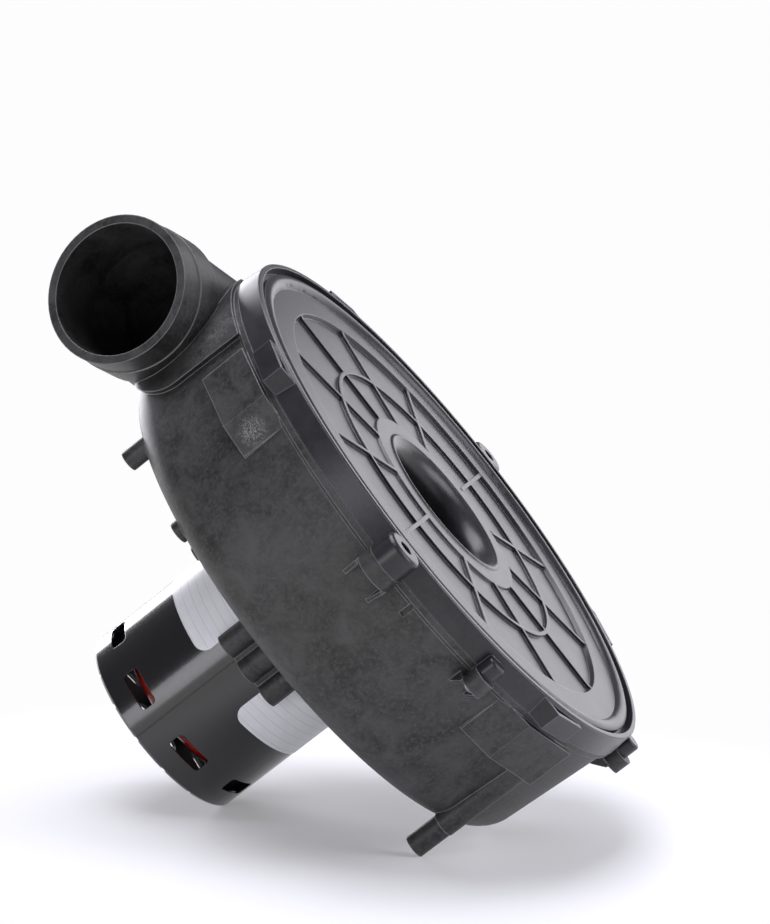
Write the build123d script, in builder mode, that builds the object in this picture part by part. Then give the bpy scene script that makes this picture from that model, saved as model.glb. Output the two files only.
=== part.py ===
"""Furnace combustion fan: a round moulded blower housing with a ribbed inlet cover, a side
outlet spigot, a backward-curved impeller and a rolled-shell motor on two ball bearings.

Frame: +Z runs out of the inlet along the shaft. The origin is on the shaft axis, in the plane
of the cover's outer lip and of the mounting bosses. The outlet points along -Y. Millimetres."""

from build123d import *
from math import cos, radians, sin
import os

os.makedirs("parts", exist_ok=True)

# ------------------------------------------------------------------ driving dimensions
# housing drum
drum_r = 118.0
drum_back_r = 115.6
drum_wall = 3.5
drum_back_z = -72.0
back_wall = 3.0
back_edge_round = 13.0
seam_z = -10.0
flange_lip = 1.3
flange_depth = 2.5

# inlet cover
rim_r = 118.7
skirt_draft = 0.9
lip_width = 2.3
lip_groove_width = 2.5
lip_groove_depth = 4.0
bead_r = 110.6
bead_half_width = 3.0
panel_z = -2.5
panel_recess_r = 94.7
panel_floor_z = -4.3
panel_under_z = -8.6
seam_gap = 0.2
register_depth = 4.0
register_wall = 3.0
rib_count = 12
rib_first_angle = -66.0
rib_width = 1.7
rib_top_z = -3.0
rib_ring_r = 65.5
collar_r = 42.7
collar_z = -3.3
throat_bead_r = 33.0
throat_r = 26.0
throat_end_z = -24.0
throat_wall = 2.2

# outlet
outlet_x = -109.6
outlet_z = -43.4
outlet_mouth_y = -107.5
spigot_r = 30.16
spigot_wall = 3.5
spigot_length = 27.5
spigot_free_length = 13.0
spigot_stop = 0.5
neck_step = 1.4
neck_wall = 2.2
neck_corner = 13.0
root_patch_proud = 3.0
root_patch_top_x = -62.7
root_patch_low_x = -65.4
root_patch_drop = 26.0

# mounting bosses, an opposite pair
boss_angles = (-64.0, 116.0)
boss_circle_r = 124.0
boss_r = 8.3
boss_hole_r = 3.0
boss_round = 1.9
boss_step = 1.0
housing_boss_depth = 6.4
gusset_depth = 9.0
gusset_width = 1.6
gusset_spread = 3.3

# corner pockets on the cover and the pads below them on the drum; each is given by the angles
# of the flat's far end, the flat's near end and the foot of the slope, and a pocket also by how
# far its far end stands proud
pocket_places = (
    (-112.8, -104.3, -101.2, 3.3),
    (-11.5, -20.6, -24.0, 3.3),
    (66.8, 75.9, 79.0, 6.2),
    (167.5, 159.4, 156.0, 6.2),
)
pocket_proud = 6.2
pocket_wall = 1.6
pocket_floor = 1.3
pad_angles = (
    (-115.8, -102.8, -96.2),
    (-6.5, -21.5, -29.5),
    (61.5, 77.1, 84.4),
    (173.5, 158.5, 150.5),
)
pad_proud = 4.4
pad_top_z = -12.5
pad_depth = 20.0

# cover screws
screw_boss_angles = (-37.0, 26.0, 90.0, 143.0)
screw_boss_circle_r = 121.4
screw_boss_r = 4.2
screw_boss_round = 1.2
screw_boss_step = 1.7
screw_boss_foot_r = 5.2
screw_boss_depth = 6.8
screw_boss_top_z = -3.2
screw_gusset_spread = 2.1
screw_gusset_depth = 5.0
cover_screw_r = 1.45
cover_screw_head_r = 3.2
cover_screw_head_height = 2.1
cover_screw_length = 11.2

# drain and pressure ports
drain_angle = -9.0
drain_circle_r = 116.3
drain_r = 4.75
drain_bore_r = 2.9
drain_rib_r = 5.1
drain_spigot_length = 14.5
drain_top_z = -30.0
drain_end_z = -83.5
blind_port_angle = -121.2
blind_port_circle_r = 107.0
blind_port_r = 4.25
blind_port_end_z = -79.8

# motor
motor_r = 42.7
shell_wall = 1.2
motor_rear_z = -152.8
motor_gasket_thickness = 2.0
end_plate_wall = 1.5
vent_count = 8
vent_first_angle = -88.5
vent_angle = 23.0
vent_height = 7.0
vent_mid_z = -139.8
seam_angle = -68.2
saddle_angles = (-60.0, 60.0, 180.0)
saddle_depth = 27.5
saddle_wall = 2.4
saddle_ridge_r = 5.4
saddle_ridge_pitch = 16.0
rear_plate_inset = 2.6
lead_hole_angle = 92.0
lead_hole_r = 4.5
lead_hole_z = -129.8

# motor internals
shaft_r = 3.98
shaft_top_z = -40.0
shaft_flat_depth = 0.7
stack_front_z = -95.0
stack_length = 30.0
stator_bore_r = 22.3
stator_slots = 24
air_gap = 0.4
rotor_bars = 20
bearing_bore_r = 4.0
bearing_outer_r = 11.0
bearing_land_outer_r = 9.0
bearing_land_inner_r = 6.0
bearing_width = 7.0
bearing_pitch_r = 7.5
ball_count = 7
ball_r = 1.85
race_gap = 0.15
cage_gap = 0.08
cage_half_wall = 0.9
cage_height = 5.2
front_bearing_z = -84.5
rear_bearing_z = -147.0
bolt_circle_r = 37.6
bolt_r = 1.9
bolt_first_angle = -66.0
bolt_head_r = 2.3
bolt_head_height = 1.9
motor_screw_circle_r = 33.0
motor_screw_r = 2.0
motor_screw_length = 12.0

# impeller
impeller_r = 84.0
impeller_eye_r = 30.0
blade_root_r = 21.0
impeller_back_z = -61.0
impeller_plate = 2.0
blade_count = 12
blade_thickness = 2.0
blade_sweep = 38.0
blade_tip_height = 24.0
blade_eye_height = 30.0
shroud_thickness = 1.8
hub_r = 11.0
hub_length = 17.0
hub_flange = 2.0

# clearances
seat_gap = 0.05
running_gap = 0.06
shell_gap = 0.1
label_thickness = 0.15

# ------------------------------------------------------------------ derived sizes
drum_bore_r = drum_r - drum_wall
floor_bore_r = drum_back_r - drum_wall
floor_corner_r = back_edge_round - drum_wall
floor_z = drum_back_z + back_wall
cover_base_z = seam_z + seam_gap
skirt_r = rim_r + skirt_draft
groove_outer_r = rim_r - lip_width
groove_inner_r = groove_outer_r - lip_groove_width
panel_edge_r = bead_r - bead_half_width
register_r = drum_bore_r - 0.3
spigot_bore_r = spigot_r - spigot_wall
spigot_end_y = outlet_mouth_y + spigot_length
neck_start_y = spigot_end_y + 2.5
neck_end_y = -2.0
motor_front_z = drum_back_z - motor_gasket_thickness
shell_front_z = motor_front_z - end_plate_wall
shell_bore_r = motor_r - shell_wall
stack_rear_z = stack_front_z - stack_length
rotor_r = stator_bore_r - air_gap
rear_plate_z = motor_rear_z + rear_plate_inset
shaft_flat_y = shaft_r - shaft_flat_depth
screw_seat_z = seam_z - screw_boss_depth
screw_tip_z = screw_seat_z + cover_screw_length


def polar(radius, angle):
    """A point in the XY plane at a radius and an angle in degrees."""
    return (radius * cos(radians(angle)), radius * sin(radians(angle)))


def sector_face(r_in, r_out, start, size):
    """A ring segment, drawn in the sketch that is open."""
    with BuildLine() as outline:
        outer = CenterArc((0, 0), r_out, start, size)
        inner = CenterArc((0, 0), r_in, start, size)
        Line(outer @ 0, inner @ 0)
        Line(outer @ 1, inner @ 1)
    make_face(outline.edges())


def radial_plane(angle):
    """The upright plane through the shaft axis at an angle: local x is outward, local y is Z."""
    return Plane(origin=(0, 0, 0), x_dir=(*polar(1, angle), 0), z_dir=(*polar(1, angle - 90), 0))


def at_angles(radius, angles):
    """Places on one circle about the shaft axis."""
    return Locations([polar(radius, angle) for angle in angles])


def finish(builder, name):
    """Label a finished piece and write it out."""
    builder.part.label = name
    export_step(builder.part, f"parts/{name}.step")


# ------------------------------------------------------------------ pocket and pad outlines


def pocket_face(far, near, foot, far_proud):
    """The outline of a cover pocket: a low wall on the skirt with one flat and one slope."""
    with BuildLine() as outline:
        Polyline(
            polar(rim_r - 1.0, far),
            polar(rim_r + far_proud, far),
            polar(rim_r + pocket_proud, near),
            polar(rim_r - 1.0, foot),
            close=True,
        )
    make_face(outline.edges())


def pad_face(far, near, foot):
    """The outline of the block that backs a pocket on the drum."""
    with BuildLine() as outline:
        Polyline(
            polar(drum_r - 4.0, far),
            polar(drum_r + pad_proud, far),
            polar(drum_r + pad_proud, near),
            polar(drum_r, foot),
            polar(drum_r - 4.0, foot),
            close=True,
        )
    make_face(outline.edges())


# ------------------------------------------------------------------ volute housing
gasket_groove_r = drum_bore_r + drum_wall / 2
gasket_groove_width = 1.6
gasket_groove_depth = 1.5
neck_height = 55.0
neck_width = 47.0
neck_centre_x = -(drum_back_r + 0.8 - neck_width / 2)
neck_centre_z = drum_back_z + 1.5 + neck_height / 2
back_hole_r = 12.0
seal_seat_r = 15.0
seal_seat_height = 1.6
notch_angle = -55.0
notch_size = (2.2, 6.0)
notch_top_z = -12.8
small_pad_angles = (-97.0, -151.0, 83.0, 29.0)
small_pad_circle_r = 103.0
small_pad_r = 4.5
small_pad_height = 2.2
register_ring_height = 3.5


def drum_outline(grow, top_z):
    """Half of the drum's outer outline, grown outwards: a drafted wall and a round back edge."""
    corner = back_edge_round + grow
    with BuildLine() as outline:
        Polyline(
            (0, drum_back_z - grow),
            (drum_back_r - back_edge_round, drum_back_z - grow),
        )
        RadiusArc(
            (drum_back_r - back_edge_round, drum_back_z - grow),
            (drum_back_r + grow, drum_back_z + back_edge_round),
            -corner,
        )
        Polyline(
            (drum_back_r + grow, drum_back_z + back_edge_round),
            (drum_r + grow, top_z),
            (0, top_z),
            (0, drum_back_z - grow),
        )
    make_face(outline.edges())


with BuildPart() as root_patch:
    # the thickened wall round the outlet root: straight beside the cover, round under the pipe
    with BuildSketch(Plane.XZ.offset(20.0)):
        with BuildLine():
            Polyline(
                (outlet_x, outlet_z - root_patch_drop),
                (outlet_x, seam_z),
                (root_patch_top_x, seam_z),
                (root_patch_low_x, outlet_z),
            )
            EllipticalCenterArc(
                (outlet_x, outlet_z),
                root_patch_low_x - outlet_x,
                root_patch_drop,
                start_angle=-90,
                arc_size=90,
            )
        make_face()
    extrude(amount=100.0)
    with BuildSketch(Plane.XZ):
        drum_outline(root_patch_proud, seam_z - flange_depth)
    revolve(axis=Axis.Z, mode=Mode.INTERSECT)

with BuildPart() as volute_housing:
    # drum with its back wall, and the flange round its top
    with BuildSketch(Plane.XZ):
        drum_outline(0.0, seam_z - flange_depth - flange_lip)
    revolve(axis=Axis.Z)
    with BuildSketch(Plane.XZ):
        with BuildLine():
            Polyline(
                (0, seam_z - flange_depth - flange_lip),
                (drum_r, seam_z - flange_depth - flange_lip),
                (drum_r + flange_lip, seam_z - flange_depth),
                (drum_r + flange_lip, seam_z),
                (0, seam_z),
                close=True,
            )
        make_face()
    revolve(axis=Axis.Z)

    # outlet neck: a round spigot that turns into the flat-sided scroll passage
    with BuildSketch(Plane.XZ.offset(-spigot_end_y)):
        with Locations((outlet_x, outlet_z)):
            Circle(spigot_r)
    extrude(amount=spigot_length)
    # shoulder that stops the vent pipe's coupling
    with BuildSketch(Plane.XZ.offset(-spigot_end_y)):
        with Locations((outlet_x, outlet_z)):
            Circle(spigot_r + spigot_stop)
    extrude(amount=spigot_length - spigot_free_length)
    with BuildSketch(Plane.XZ.offset(-spigot_end_y)):
        with Locations((outlet_x, outlet_z)):
            Circle(spigot_r + spigot_stop)
    with BuildSketch(Plane.XZ.offset(-neck_start_y)):
        with Locations((outlet_x, outlet_z)):
            Circle(spigot_r - neck_step)
    loft()
    with BuildSketch(Plane.XZ.offset(-neck_start_y)):
        with Locations((outlet_x, outlet_z)):
            neck_r = spigot_r - neck_step
            RectangleRounded(2 * neck_r, 2 * neck_r, neck_r - 0.05)
    with BuildSketch(Plane.XZ.offset(-neck_end_y)):
        with Locations((neck_centre_x, neck_centre_z)):
            RectangleRounded(neck_width, neck_height, neck_corner)
    loft()
    add(root_patch.part)

    # pads under the cover pockets
    with BuildSketch(Plane.XY.offset(pad_top_z - pad_depth)):
        for pad_place in pad_angles:
            pad_face(*pad_place)
    extrude(amount=pad_depth)

    # mounting bosses with two gussets each
    with BuildSketch(Plane.XY.offset(seam_z - housing_boss_depth)):
        with at_angles(boss_circle_r - boss_step, boss_angles):
            Circle(boss_r)
    extrude(amount=housing_boss_depth)
    for angle in boss_angles:
        for side in (-1, 1):
            with BuildSketch(radial_plane(angle + side * gusset_spread)):
                with BuildLine():
                    Polyline(
                        (drum_r - 2.0, seam_z - housing_boss_depth + 0.5),
                        (boss_circle_r + 2.0, seam_z - housing_boss_depth + 0.5),
                        (boss_circle_r + 2.0, seam_z - housing_boss_depth - 1.0),
                        (drum_r - 0.5, seam_z - housing_boss_depth - gusset_depth),
                        (drum_r - 2.0, seam_z - housing_boss_depth - gusset_depth),
                        close=True,
                    )
                make_face()
            extrude(amount=gusset_width / 2, both=True)

    # cover screw bosses with two gussets each, spread to clear the screw's head
    with BuildSketch(Plane.XY.offset(seam_z - screw_boss_depth)):
        with at_angles(screw_boss_circle_r + screw_boss_step, screw_boss_angles):
            Circle(screw_boss_foot_r)
    extrude(amount=screw_boss_depth)
    for angle in screw_boss_angles:
        for side in (-1, 1):
            with BuildSketch(radial_plane(angle + side * screw_gusset_spread)):
                with BuildLine():
                    Polyline(
                        (drum_r - 2.0, seam_z - screw_boss_depth + 0.5),
                        (screw_boss_circle_r + 2.0, seam_z - screw_boss_depth + 0.5),
                        (screw_boss_circle_r + 2.0, seam_z - screw_boss_depth - 1.0),
                        (drum_r + 0.5, seam_z - screw_boss_depth - screw_gusset_depth),
                        (drum_r - 2.0, seam_z - screw_boss_depth - screw_gusset_depth),
                        close=True,
                    )
                make_face()
            extrude(amount=gusset_width / 2, both=True)

    # drain tube along the wall and the blind port beside the outlet
    with BuildSketch(Plane.XY.offset(drain_end_z)):
        with Locations(polar(drain_circle_r, drain_angle)):
            Circle(drain_r)
    extrude(amount=drain_spigot_length)
    with BuildSketch(Plane.XY.offset(drain_end_z + drain_spigot_length)):
        with Locations(polar(drain_circle_r, drain_angle)):
            Circle(drain_rib_r)
    extrude(amount=drain_top_z - drain_end_z - drain_spigot_length)
    with BuildSketch(Plane.XY.offset(blind_port_end_z)):
        with Locations(polar(blind_port_circle_r, blind_port_angle)):
            Circle(blind_port_r)
    extrude(amount=drum_back_z + 6.0 - blind_port_end_z)
    with BuildSketch(Plane.XY.offset(drum_back_z - small_pad_height)):
        with at_angles(small_pad_circle_r, small_pad_angles):
            Circle(small_pad_r)
    extrude(amount=small_pad_height + 3.5)

    # motor register ring and the three ridged saddles
    saddle_bore_r = motor_r + 0.4
    with BuildSketch(Plane.XY.offset(drum_back_z - register_ring_height)):
        Circle(saddle_bore_r + saddle_wall)
    extrude(amount=register_ring_height + 1.0)
    with BuildSketch(Plane.XY.offset(drum_back_z - saddle_depth)):
        for angle in saddle_angles:
            sector_face(
                saddle_bore_r - 1.0,
                saddle_bore_r + saddle_wall,
                angle - saddle_ridge_pitch,
                2 * saddle_ridge_pitch,
            )
            for side in (-1, 0, 1):
                with Locations(polar(saddle_bore_r + 1.4, angle + side * saddle_ridge_pitch)):
                    Circle(saddle_ridge_r)
    extrude(amount=saddle_depth + 1.0)
    with BuildSketch(Plane.XY.offset(drum_back_z - saddle_depth)):
        Circle(saddle_bore_r)
    extrude(amount=saddle_depth, mode=Mode.SUBTRACT)

    # cavity, with a rounded floor corner
    with BuildSketch(Plane.XZ):
        with BuildLine():
            Polyline(
                (0, seam_z),
                (drum_bore_r, seam_z),
                (floor_bore_r, floor_z + floor_corner_r),
            )
            RadiusArc(
                (floor_bore_r, floor_z + floor_corner_r),
                (floor_bore_r - floor_corner_r, floor_z),
                floor_corner_r,
            )
            Polyline((floor_bore_r - floor_corner_r, floor_z), (0, floor_z), (0, seam_z))
        make_face()
    revolve(axis=Axis.Z, mode=Mode.SUBTRACT)

    # outlet passage
    with BuildSketch(Plane.XZ.offset(-neck_start_y)):
        with Locations((outlet_x, outlet_z)):
            Circle(spigot_bore_r)
    extrude(amount=spigot_length + 5.0, mode=Mode.SUBTRACT)
    with BuildSketch(Plane.XZ.offset(-neck_start_y)):
        with Locations((outlet_x, outlet_z)):
            RectangleRounded(2 * spigot_bore_r, 2 * spigot_bore_r, spigot_bore_r - 0.05)
    with BuildSketch(Plane.XZ.offset(-neck_end_y)):
        with Locations((neck_centre_x, neck_centre_z)):
            RectangleRounded(
                neck_width - 2 * drum_wall,
                neck_height - 2 * neck_wall - 2.0,
                neck_corner - neck_wall,
            )
    loft(mode=Mode.SUBTRACT)

    # seal seat on the floor, shaft hole and motor screw holes
    with BuildSketch(Plane.XY.offset(floor_z - 0.5)):
        Circle(seal_seat_r)
    extrude(amount=seal_seat_height + 0.5)
    with BuildSketch(Plane.XY.offset(drum_back_z - 1.0)):
        Circle(back_hole_r)
    extrude(amount=back_wall + seal_seat_height + 2.0, mode=Mode.SUBTRACT)
    with BuildSketch(Plane.XY.offset(drum_back_z - 1.0)):
        with PolarLocations(motor_screw_circle_r, 3, saddle_angles[0]):
            Circle(motor_screw_r + 1.7)
    extrude(amount=back_wall + 2.0, mode=Mode.SUBTRACT)

    # gasket groove, mounting holes, screw pilots, drain bore and the notch under the flange
    with BuildSketch(Plane.XY.offset(seam_z - gasket_groove_depth)):
        Circle(gasket_groove_r + gasket_groove_width / 2)
        Circle(gasket_groove_r - gasket_groove_width / 2, mode=Mode.SUBTRACT)
    extrude(amount=gasket_groove_depth, mode=Mode.SUBTRACT)
    with BuildSketch(Plane.XY.offset(seam_z - housing_boss_depth - gusset_depth)):
        with at_angles(boss_circle_r, boss_angles):
            Circle(boss_hole_r)
    extrude(amount=housing_boss_depth + gusset_depth + 1.0, mode=Mode.SUBTRACT)
    with BuildSketch(Plane.XY.offset(seam_z - screw_boss_depth)):
        with at_angles(screw_boss_circle_r, screw_boss_angles):
            Circle(cover_screw_r + 0.2)
    extrude(amount=screw_boss_depth, mode=Mode.SUBTRACT)
    with BuildSketch(Plane.XY.offset(drain_end_z)):
        with Locations(polar(drain_circle_r, drain_angle)):
            Circle(drain_bore_r)
    extrude(amount=drain_top_z - 5.0 - drain_end_z, mode=Mode.SUBTRACT)
    with BuildSketch(radial_plane(notch_angle)):
        with Locations((drum_r, notch_top_z - notch_size[1] / 2)):
            Rectangle(2 * flange_lip, notch_size[1])
    extrude(amount=notch_size[0] / 2, both=True, mode=Mode.SUBTRACT)
finish(volute_housing, "volute_housing")

# ------------------------------------------------------------------ cover gasket
with BuildPart() as cover_gasket:
    # a soft cord pressed flat between the groove floor and the cover
    with BuildSketch(Plane.XY.offset(seam_z - gasket_groove_depth)):
        Circle(gasket_groove_r + gasket_groove_width / 2 - seat_gap)
        Circle(gasket_groove_r - gasket_groove_width / 2 + seat_gap, mode=Mode.SUBTRACT)
    extrude(amount=gasket_groove_depth + seam_gap)
finish(cover_gasket, "cover_gasket")

# ------------------------------------------------------------------ inlet cover
throat_bend = throat_bead_r - 1.2 - throat_r


def boss_profile(radius, height, top_round):
    """Half the section of a boss with its top edge rounded, drawn in the sketch that is open."""
    middle = radius - top_round + top_round * cos(radians(45))
    with BuildLine() as outline:
        Polyline((0, height), (0, 0), (radius, 0), (radius, height - top_round))
        ThreePointArc(
            (radius, height - top_round),
            (middle, height - radius + middle),
            (radius - top_round, height),
        )
        Line((radius - top_round, height), (0, height))
    make_face(outline.edges())


with BuildPart() as cover_bosses:
    # the mounting bosses reach the lip's plane, and the screw bosses stay closed at the top
    for angle in boss_angles:
        boss_foot = (*polar(boss_circle_r, angle), cover_base_z)
        with BuildSketch(Plane(origin=boss_foot, x_dir=(1, 0, 0), z_dir=(0, -1, 0))):
            boss_profile(boss_r, -cover_base_z, boss_round)
        revolve(axis=Axis(boss_foot, (0, 0, 1)))
    for angle in screw_boss_angles:
        boss_foot = (*polar(screw_boss_circle_r, angle), cover_base_z)
        with BuildSketch(Plane(origin=boss_foot, x_dir=(1, 0, 0), z_dir=(0, -1, 0))):
            boss_profile(screw_boss_r, screw_boss_top_z - cover_base_z, screw_boss_round)
        revolve(axis=Axis(boss_foot, (0, 0, 1)))
    with BuildSketch(Plane.XY.offset(cover_base_z)):
        Circle(groove_outer_r + 0.4)
    extrude(amount=-cover_base_z, mode=Mode.SUBTRACT)

with BuildPart() as inlet_cover:
    with BuildSketch(Plane.XZ):
        with BuildLine():
            Polyline(
                (throat_r + throat_wall, panel_under_z),
                (register_r - register_wall, panel_under_z),
                (register_r - register_wall, cover_base_z - register_depth),
                (register_r, cover_base_z - register_depth),
                (register_r, cover_base_z),
                (skirt_r, cover_base_z),
                (rim_r, -0.5),
                (rim_r - 0.5, 0),
                (groove_outer_r, 0),
                (groove_outer_r, -lip_groove_depth),
                (groove_inner_r, -lip_groove_depth),
                (groove_inner_r, -1.2),
            )
            ThreePointArc(
                (groove_inner_r, -1.2),
                (bead_r + 0.1, -0.4),
                (panel_edge_r, panel_z),
            )
            Polyline(
                (panel_edge_r, panel_z),
                (panel_recess_r, panel_z),
                (panel_recess_r - 0.8, panel_floor_z),
                (collar_r + 0.6, panel_floor_z),
                (collar_r, collar_z),
                (throat_bead_r + 1.4, collar_z),
            )
            ThreePointArc(
                (throat_bead_r + 1.4, collar_z),
                (throat_bead_r, collar_z + 0.6),
                (throat_bead_r - 1.2, collar_z + 0.1),
            )
            ThreePointArc(
                (throat_bead_r - 1.2, collar_z + 0.1),
                (throat_r + throat_bend * 0.33, collar_z - 2.6),
                (throat_r, collar_z - 8.5),
            )
            Polyline(
                (throat_r, collar_z - 8.5),
                (throat_r, throat_end_z),
                (throat_r + throat_wall, throat_end_z),
                (throat_r + throat_wall, panel_under_z),
            )
        make_face()
    revolve(axis=Axis.Z)

    # panel ribs: spokes and one ring
    for rib in range(rib_count):
        with BuildSketch(radial_plane(rib_first_angle + 360.0 / rib_count * rib)):
            with BuildLine():
                Polyline(
                    (collar_r - 1.0, panel_floor_z - 0.5),
                    (panel_recess_r, panel_floor_z - 0.5),
                    (panel_recess_r, panel_z - 0.1),
                    (panel_recess_r - 2.0, rib_top_z),
                    (collar_r + 1.0, rib_top_z),
                    (collar_r - 1.0, collar_z - 0.1),
                    close=True,
                )
            make_face()
        extrude(amount=rib_width / 2, both=True)
    with BuildSketch(Plane.XY.offset(panel_floor_z - 0.5)):
        Circle(rib_ring_r + rib_width / 2)
        Circle(rib_ring_r - rib_width / 2, mode=Mode.SUBTRACT)
    extrude(amount=rib_top_z - panel_floor_z + 0.5)

    # corner pockets, open at the top
    for pocket_place in pocket_places:
        with BuildSketch(Plane.XY.offset(cover_base_z)):
            pocket_face(*pocket_place)
            Circle(groove_outer_r + 0.4, mode=Mode.SUBTRACT)
        extrude(amount=-1.0 - cover_base_z)
        with BuildSketch(Plane.XY.offset(cover_base_z + pocket_floor)):
            pocket_face(*pocket_place)
            offset(amount=-pocket_wall, kind=Kind.INTERSECTION)
            Circle(skirt_r + 0.1, mode=Mode.SUBTRACT)
        extrude(amount=-cover_base_z, mode=Mode.SUBTRACT)

    # bosses, mounting holes and the screws' blind pilot holes
    add(cover_bosses.part)
    with BuildSketch(Plane.XY.offset(cover_base_z)):
        with at_angles(boss_circle_r, boss_angles):
            Circle(boss_hole_r)
    extrude(amount=-cover_base_z, mode=Mode.SUBTRACT)
    with BuildSketch(Plane.XY.offset(cover_base_z)):
        with at_angles(screw_boss_circle_r, screw_boss_angles):
            Circle(cover_screw_r + seat_gap)
    extrude(amount=screw_tip_z + 0.4 - cover_base_z, mode=Mode.SUBTRACT)
finish(inlet_cover, "inlet_cover")

# ------------------------------------------------------------------ cover screws
with BuildPart() as cover_screws:
    # domed heads with a cross recess, driven through the housing bosses into the cover's
    for angle in screw_boss_angles:
        seat = (*polar(screw_boss_circle_r, angle), screw_seat_z)
        with BuildSketch(Plane(origin=seat, x_dir=(1, 0, 0), z_dir=(0, 1, 0))):
            with BuildLine():
                Polyline(
                    (0, -cover_screw_length),
                    (cover_screw_r * 0.4, -cover_screw_length + 0.6),
                    (cover_screw_r, -cover_screw_length + 2.6),
                    (cover_screw_r, 0),
                    (cover_screw_head_r, 0),
                    (cover_screw_head_r, cover_screw_head_height * 0.4),
                )
                ThreePointArc(
                    (cover_screw_head_r, cover_screw_head_height * 0.4),
                    (cover_screw_head_r * 0.72, cover_screw_head_height * 0.86),
                    (0, cover_screw_head_height),
                )
                Line((0, cover_screw_head_height), (0, -cover_screw_length))
            make_face()
        revolve(axis=Axis(seat, (0, 0, 1)))
        recess_plane = Plane(origin=seat, x_dir=(1, 0, 0), z_dir=(0, 0, -1))
        with BuildSketch(recess_plane.offset(cover_screw_head_height * 0.4)):
            Rectangle(3.4, 0.8)
            Rectangle(0.8, 3.4)
        extrude(amount=cover_screw_head_height, mode=Mode.SUBTRACT)
finish(cover_screws, "cover_screws")

# ------------------------------------------------------------------ motor gasket
with BuildPart() as motor_gasket:
    # a heat-insulating ring between the housing's back and the motor
    with BuildSketch(Plane.XY.offset(motor_front_z)):
        Circle(motor_r - 0.4)
        Circle(bearing_outer_r + 4.0, mode=Mode.SUBTRACT)
        with PolarLocations(motor_screw_circle_r, 3, saddle_angles[0]):
            Circle(motor_screw_r + 1.7, mode=Mode.SUBTRACT)
    extrude(amount=motor_gasket_thickness)
finish(motor_gasket, "motor_gasket")

# ------------------------------------------------------------------ motor end plates
hub_wall = 1.6


def end_plate(plate_z, toward, hub_mid_z):
    """A pressed end plate whose bearing cup is drawn towards one side, closed by a lip."""
    cup_open = hub_mid_z - toward * bearing_width / 2
    cup_shut = hub_mid_z + toward * bearing_width / 2
    with BuildPart() as plate:
        with BuildSketch(Plane.XY.offset(plate_z)):
            Circle(shell_bore_r - shell_gap)
        extrude(amount=-end_plate_wall)
        low = min(plate_z - end_plate_wall, cup_open, cup_shut - (1.0 if toward < 0 else 0.0))
        high = max(plate_z, cup_open, cup_shut + (1.0 if toward > 0 else 0.0))
        with BuildSketch(Plane.XY.offset(low)):
            Circle(bearing_outer_r + seat_gap + hub_wall)
        extrude(amount=high - low)
        with BuildSketch(Plane.XY.offset(min(cup_open, cup_shut))):
            Circle(bearing_outer_r + seat_gap)
        extrude(amount=bearing_width, mode=Mode.SUBTRACT)
        with BuildSketch(Plane.XY.offset(low)):
            Circle(bearing_outer_r - 2.0)
        extrude(amount=high - low, mode=Mode.SUBTRACT)
        with BuildSketch(Plane.XY.offset(min(low, plate_z - end_plate_wall))):
            with PolarLocations(bolt_circle_r, 4, bolt_first_angle):
                Circle(bolt_r + seat_gap)
        extrude(amount=high - low + end_plate_wall, mode=Mode.SUBTRACT)
    return plate


front_end = end_plate(motor_front_z, -1, front_bearing_z)
with BuildPart() as motor_front_end:
    add(front_end.part)
    # open the cup's front face onto the shaft hole, and cut the motor screw holes
    with BuildSketch(Plane.XY.offset(front_bearing_z)):
        Circle(bearing_outer_r + seat_gap)
    extrude(amount=motor_front_z - front_bearing_z, mode=Mode.SUBTRACT)
    with BuildSketch(Plane.XY.offset(motor_front_z - end_plate_wall)):
        with PolarLocations(motor_screw_circle_r, 3, saddle_angles[0]):
            Circle(motor_screw_r + seat_gap)
    extrude(amount=end_plate_wall, mode=Mode.SUBTRACT)
finish(motor_front_end, "motor_front_end")

rear_vent_count = 8
rear_vent_circle_r = 26.0
with BuildPart() as motor_rear_end:
    # recessed plate with a closed bearing cup and a ring of vent slots
    with BuildSketch(Plane.XY.offset(rear_plate_z)):
        Circle(shell_bore_r - shell_gap)
        with PolarLocations(bolt_circle_r, 4, bolt_first_angle):
            Circle(bolt_r + seat_gap, mode=Mode.SUBTRACT)
        for vent in range(rear_vent_count):
            mid = bolt_first_angle + 22.5 + 45.0 * vent
            with Locations(Location((*polar(rear_vent_circle_r, mid), 0), (0, 0, mid))):
                SlotOverall(14.0, 5.0, mode=Mode.SUBTRACT)
    extrude(amount=end_plate_wall)
    cup_low = rear_bearing_z - bearing_width / 2
    with BuildSketch(Plane.XY.offset(cup_low - 1.2)):
        Circle(bearing_outer_r + seat_gap + hub_wall)
    extrude(amount=bearing_width + 1.2)
    with BuildSketch(Plane.XY.offset(cup_low)):
        Circle(bearing_outer_r + seat_gap)
    extrude(amount=bearing_width, mode=Mode.SUBTRACT)
finish(motor_rear_end, "motor_rear_end")

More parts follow.
